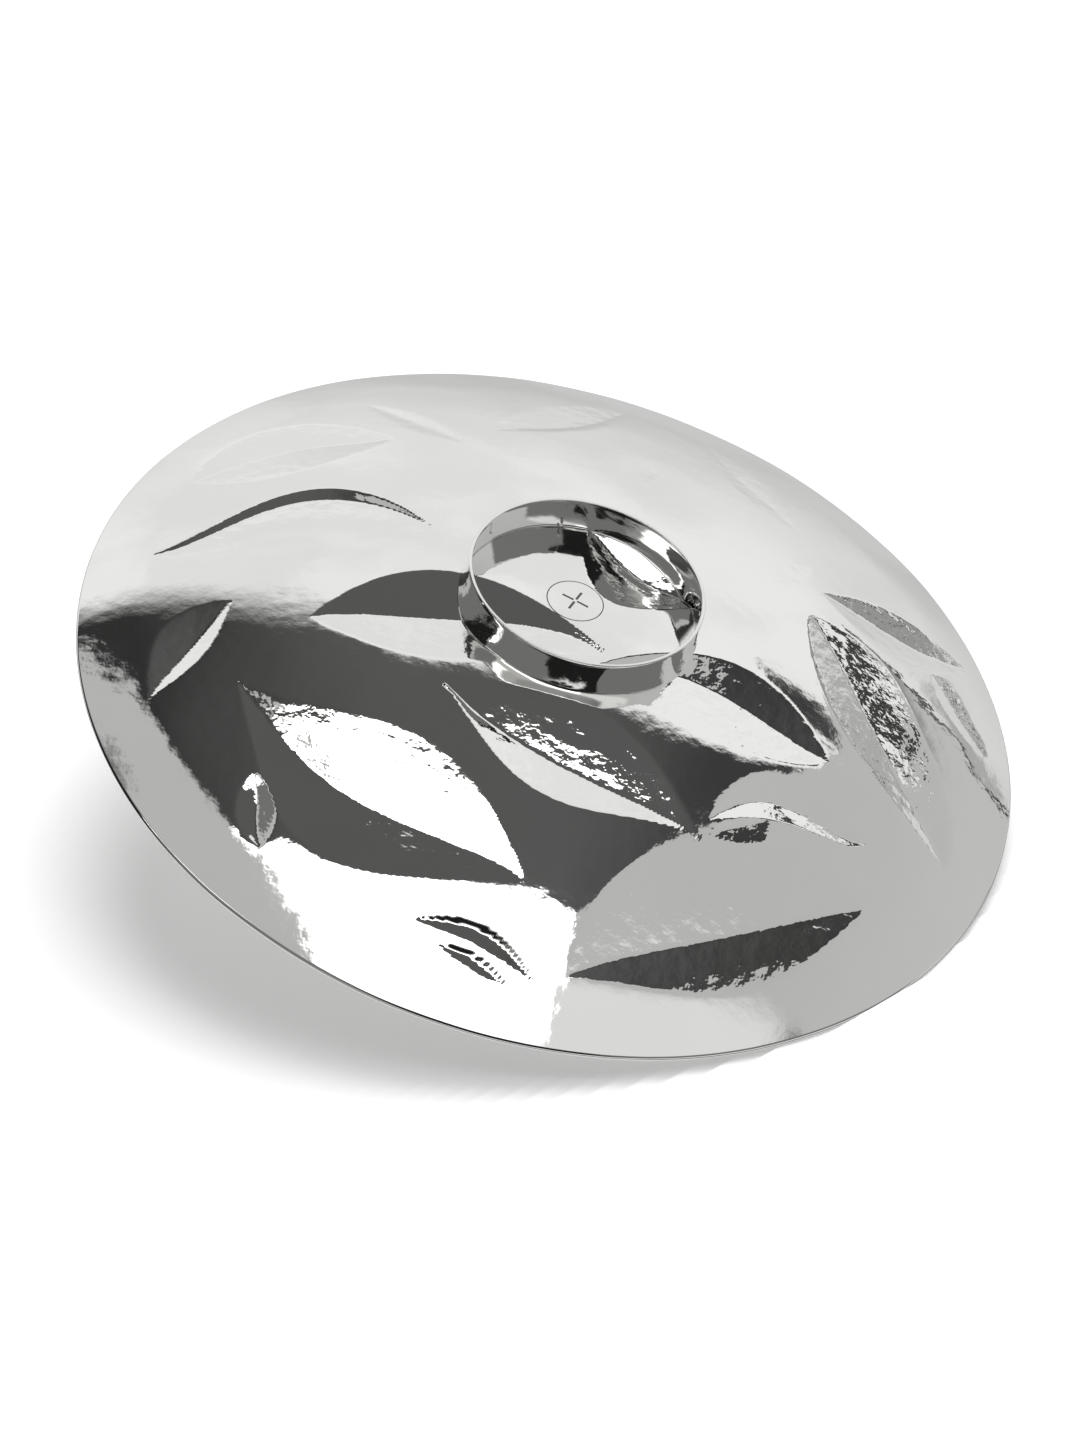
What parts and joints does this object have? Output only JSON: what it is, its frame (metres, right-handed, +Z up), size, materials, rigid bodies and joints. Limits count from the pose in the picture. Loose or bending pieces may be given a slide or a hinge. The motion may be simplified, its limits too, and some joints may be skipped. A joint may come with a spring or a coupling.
{
  "type": "paten plate",
  "caption": "Shallow round footed dish of polished silver, chased with leaves, for holding communion bread.",
  "frame": {"origin": "centre of the foot's circle, on the surface the paten stands on", "axes": "+Z up, square to the rim, out of the dish's open side; +X and +Y lie in the plane of the rim"},
  "size_m": [0.24, 0.24, 0.0386],
  "materials": {
    "dish_silver": "mirror polished silver, lightly hammered",
    "foot_silver": "mirror polished silver",
    "solder": "satin hard solder"
  },
  "bodies": {
    "root": {"dish": "dish_silver", "foot_band": "foot_silver", "band_seam_solder": "solder", "foot_solder_fillet": "solder"}
  },
  "joints": []
}
